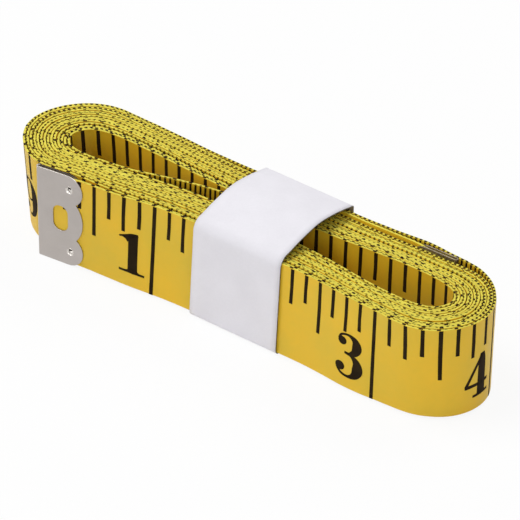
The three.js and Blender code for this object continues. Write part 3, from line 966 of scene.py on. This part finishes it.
def tipBlank():  # flat, as stamped: x along the metal from the fold, y up, z through it
    foldRadius = tip["gap"] + tip["plate"] / 2
    foldHalf = foldRadius * math.pi / 2
    lead = foldHalf - foldRadius - tip["plate"] / 2

    def unrolled(points, side):
        return [(side * (x + lead), y) for x, y in points]

    front = lobedEdge()
    outlines = [unrolled(front, 1) + unrolled(front, -1)[::-1]]
    outlines += [unrolled(slotOutline(), side) for side in (1, -1)]
    holes = [arc(c, tip["crimp"], 0, 2 * math.pi, 2 * tip["arcSteps"])[:-1] for c in crimpCentres()]
    outlines += [unrolled(hole, 1) for hole in holes]
    curve = bpy.data.curves.new("blank", "CURVE")
    curve.dimensions = "2D"
    curve.fill_mode = "BOTH"
    curve.extrude = tip["plate"] / 2 - tip["edge"]
    curve.bevel_depth = tip["edge"]
    curve.bevel_resolution = 2
    curve.offset = -tip["edge"]
    for outline in outlines:
        spline = curve.splines.new("POLY")
        spline.points.add(len(outline) - 1)
        spline.use_cyclic_u = True
        for point, (x, y) in zip(spline.points, outline):
            point.co = (x, y, 0, 1)
    holder = bpy.data.objects.new("blank", curve)
    scene.collection.objects.link(holder)
    bpy.context.view_layer.update()
    flat = bpy.data.meshes.new_from_object(holder.evaluated_get(bpy.context.evaluated_depsgraph_get()))
    bpy.data.objects.remove(holder)
    bm = bmesh.new()
    bm.from_mesh(flat)
    bpy.data.meshes.remove(flat)
    bmesh.ops.remove_doubles(bm, verts=bm.verts, dist=weld)
    for i in range(tip["foldCuts"] + 1):
        cutAcross(bm, foldHalf * (2 * i / tip["foldCuts"] - 1), tip["cutNear"])
    return bm, foldRadius, foldHalf


def foldBlank(bm, radius, half):  # the fold's outside comes to x = 0, the slotted front faces -y
    centre = radius + tip["plate"] / 2
    for vert in bm.verts:
        u, height, out = vert.co
        turn = min(max(u / radius, -math.pi / 2), math.pi / 2)
        past = max(abs(u) - half, 0)
        x = centre + past - (radius + out) * math.cos(turn)
        vert.co = (x, -(radius + out) * math.sin(turn), height)


def addCrimps(bm):  # pressed in from the front and torn open at the bottom; the torn hole is painted shade, the rest of the cup a painted highlight
    surface = tip["gap"] + tip["plate"]
    for x, z in crimpCentres():
        cup = bmesh.new()
        chain, edges = chainOf(cup, [(r, 0, depth) for r, depth in tip["crimpProfile"]])
        bmesh.ops.spin(cup, geom=[*chain, *edges], cent=(0, 0, 0), axis=(0, 0, 1), angle=2 * math.pi,
                       steps=tip["crimpSides"], use_merge=True)
        bmesh.ops.remove_doubles(cup, verts=cup.verts, dist=weld)
        outside, inside = (r for r, _ in tip["crimpProfile"][-3:-1])
        # painted shade on the torn ring away from the tongue, painted highlight on the rest of the cup
        for face in cup.faces:
            middle = face.calc_center_median()
            fromTongue = Vector(tip["tongueAim"]).angle(middle.xy, 0)
            torn = inside < middle.xy.length < outside and fromTongue > tip["tongue"]
            face.material_index = 2 if torn else 1
        for vert in cup.verts:
            if tip["torn"][0] < vert.co.xy.length <= tip["torn"][1]:
                angle = math.atan2(vert.co.y, vert.co.x)
                vert.co.xy *= 1 + tip["ragged"] * math.sin(2 * angle + z)
                vert.co.z += tip["tear"] * math.sin(3 * angle + z)
        bmesh.ops.recalc_face_normals(cup, faces=cup.faces)
        toFront = Matrix.Translation((x, -surface, z)) @ Matrix.Rotation(math.pi / 2, 4, "X")
        bmesh.ops.transform(cup, matrix=toFront, verts=cup.verts)
        bmesh.ops.solidify(cup, geom=cup.faces, thickness=tip["cupWall"])
        pour(cup, bm)


def makeTip(name, node, body, s, faces, down):  # on the tape's end at s, its lower edge this far down
    bm, radius, half = tipBlank()
    foldBlank(bm, radius, half)
    bm.normal_update()
    for face in bm.faces:  # the stamped edges, those of the rear plate dark with painted shade
        middle = face.calc_center_median()
        if abs(face.normal.y) < tip["edgeFacing"] and middle.x > 2 * radius:
            face.material_index = 4 if middle.y > 0 else 3
    addCrimps(bm)
    end = line.at(s, 0, line.width) / mm
    back = (line.at(abs(s - tip["aimFrom"]), 0, line.width) / mm - end).normalized()
    corner = end - back * (radius + tip["plate"] / 2)
    turn = Matrix.Rotation(math.atan2(back.y, back.x), 4, "Z")
    spot = Matrix.Translation((corner.x, corner.y, end.z - line.width - down))
    bmesh.ops.transform(bm, matrix=spot @ turn, verts=bm.verts)
    for vert in bm.verts:
        vert.co += line.lean(s, vert.co.x, vert.co.y).to_3d() * (line.top - vert.co.z) / line.width
    bmesh.ops.scale(bm, vec=(mm, mm, mm), verts=bm.verts)
    for face in bm.faces:
        face.smooth = True
    for edge in bm.edges:
        edge.smooth = edge.calc_face_angle(0) < tip["sharp"]
    plate, front, rear = (looks[look] for look in faces)
    piece = asObject(bm, name, plate, looks["paintedHighlight"], looks["paintedShade"], front, rear)
    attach(piece, body)
    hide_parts(node)


# painted shade on the near end's rear plate edges, and on the whole hidden end as a shaded copy of the
# nickel
makeTip("zero_end_ferrule", "zero_end_tip", "free_end", 0, ("nickel", "stamped", "paintedShade"), tip["over"])
makeTip("far_end_ferrule", "far_end_tip", "roll", line.length, ("shadedNickel",) * 3, 2 * tip["over"])
print("metal ends folded on")


# The paper band, seen along the roll, mm
band = {
    "paper": 0.25,
    "shoulderHigh": 1.1,  # above the tape
    "crownHigh": 2.85,
    "rearHigh": 1.35,
    "shoulderRound": 2.2,
    "rearRound": 0.5,
    "floorRound": 1.1,
    "flare": 0.6,  # the front wall stands off at its foot
    "archFront": (0.22, 0.6),
    "archCrown": 0.48,
    "archRear": (0.76, 0.65),
    "flapDrop": 3.05,
    "flapBottom": 4.5,
    "glue": 0.15,
    "steps": 10,
    "wall": 12,
    "columns": 16,
}


def quarter(centre, radius, start, stop):
    return [Vector(p) for p in arc(centre, radius, start, stop, band["steps"])]


def bandRoute():
    low, high = (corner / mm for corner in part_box("paper_band"))
    half = band["paper"] / 2
    frontWall, outerRear = low.y + half, high.y - half
    innerRear = outerRear - band["paper"] - band["glue"]
    underside = low.z + half
    shoulder, crown, rear = (line.top + band[k] + half for k in ("shoulderHigh", "crownHigh", "rearHigh"))
    r, rr, fr = band["shoulderRound"], band["rearRound"], band["floorRound"]
    topStart, topEnd = frontWall + r, outerRear - rr

    def arch(share, foot, lift):
        return Vector((topStart + (topEnd - topStart) * share, foot + (crown - foot) * lift))

    top = [
        Vector((topStart, shoulder)),
        arch(band["archFront"][0], shoulder, band["archFront"][1]),
        arch(band["archCrown"], shoulder, 1),
        arch(band["archRear"][0], rear, band["archRear"][1]),
        Vector((topEnd, rear)),
    ]
    corners = [
        [Vector((innerRear, line.top - band["flapDrop"]))],
        quarter((innerRear - fr, underside + fr), fr, 0, -math.pi / 2),
        quarter((frontWall - band["flare"] + fr, underside + fr), fr, -math.pi / 2, -math.pi),
        quarter((topStart, shoulder - r), r, math.pi, math.pi / 2),
        evenSpline(top, band["steps"])[1:],
        quarter((topEnd, rear - rr), rr, math.pi / 2, 0)[1:],
        [Vector((outerRear, band["flapBottom"]))],
    ]
    route = list(corners[0])
    for run in corners[1:]:
        gap = (run[0] - route[-1]).length
        count = max(1, round(gap / (line.width / band["wall"])))
        route += [route[-1].lerp(run[0], i / count) for i in range(1, count)]
        route += run
    return route


def makeBand():
    low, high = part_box("paper_band")
    route = bandRoute()
    bm = bmesh.new()
    _, edges = chainOf(bm, [(low.x, p.x * mm, p.y * mm) for p in route])
    for _ in range(band["columns"]):
        edges, fresh = growOn(bm, edges)
        bmesh.ops.translate(bm, vec=((high.x - low.x) / band["columns"], 0, 0), verts=list(fresh))
    bmesh.ops.recalc_face_normals(bm, faces=bm.faces)
    for face in bm.faces:
        face.smooth = True
    piece = asObject(bm, "paper_band_sheet", looks["paper"], looks["paperInside"], looks["paperCut"])
    thicken(piece, band["paper"], rim=2)
    piece.modifiers["thickness"].material_offset = 1
    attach(piece, "band")
    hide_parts("paper_band")
    length = sum((b - a).length for a, b in zip(route, route[1:])) * mm
    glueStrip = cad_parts["band_glue_strip"]
    glueStrip.data.materials.clear()
    glueStrip.data.materials.append(looks["glue"])


makeBand()
print("paper band folded round")


studio = {
    "world": 0.31,
    "floor": 0.9,
    "floorHalf": 4,
    "floorDrop": 0.00002,  # a hair below the part
    "whiteShare": 0.9,  # of the floor that shows plain white to the camera
    "key": {"at": (-0.4, -0.22, 0.88), "size": 0.6, "power": 5.8},
    "fill": {"at": (0.4, -0.65, 0.36), "size": 0.5, "power": 1.38},
    "rear": {"at": (0.1, 0.6, 0.65), "size": 0.5, "power": 1.85},
}


def seenDirectly(tree):  # 1 for what the camera, gloss and glass see
    path = tree.nodes.new("ShaderNodeLightPath")
    either = mathNode(tree, "MAXIMUM", path.outputs["Is Camera Ray"], path.outputs["Is Glossy Ray"])
    return mathNode(tree, "MAXIMUM", either, path.outputs["Is Transmission Ray"])


def makeFloor():
    material = bpy.data.materials.new("floor")
    material.use_nodes = True
    tree = material.node_tree
    tree.nodes.clear()
    output = tree.nodes.new("ShaderNodeOutputMaterial")
    lit = tree.nodes.new("ShaderNodeBsdfDiffuse")
    lit.inputs["Color"].default_value = (studio["floor"],) * 3 + (1,)
    white = tree.nodes.new("ShaderNodeEmission")
    mix = tree.nodes.new("ShaderNodeMixShader")
    tree.links.new(mathNode(tree, "MULTIPLY", seenDirectly(tree), studio["whiteShare"]), mix.inputs[0])
    tree.links.new(lit.outputs[0], mix.inputs[1])
    tree.links.new(white.outputs[0], mix.inputs[2])
    tree.links.new(mix.outputs[0], output.inputs["Surface"])
    bm = bmesh.new()
    bmesh.ops.create_grid(bm, x_segments=1, y_segments=1, size=studio["floorHalf"])
    bmesh.ops.translate(bm, vec=(0, 0, -studio["floorDrop"]), verts=bm.verts)
    asObject(bm, "floor", material)


def makeWorld():
    world = bpy.data.worlds.new("studio")
    scene.world = world
    world.use_nodes = True
    tree = world.node_tree
    background = tree.nodes["Background"]
    background.inputs["Color"].default_value = (1, 1, 1, 1)
    level = mathNode(tree, "MULTIPLY", seenDirectly(tree), 1 - studio["world"])
    tree.links.new(mathNode(tree, "ADD", level, studio["world"]), background.inputs["Strength"])


def makeLamp(name):
    values = studio[name]
    data = bpy.data.lights.new(name, "AREA")
    data.size = values["size"]
    data.energy = values["power"]
    lamp = bpy.data.objects.new(name, data)
    lamp.location = values["at"]
    lamp.rotation_euler = (-Vector(values["at"])).to_track_quat("-Z", "Y").to_euler()
    scene.collection.objects.link(lamp)


makeFloor()
makeWorld()
for lampName in ("key", "fill", "rear"):
    makeLamp(lampName)
scene.view_settings.view_transform = "Standard"
print("studio lit")
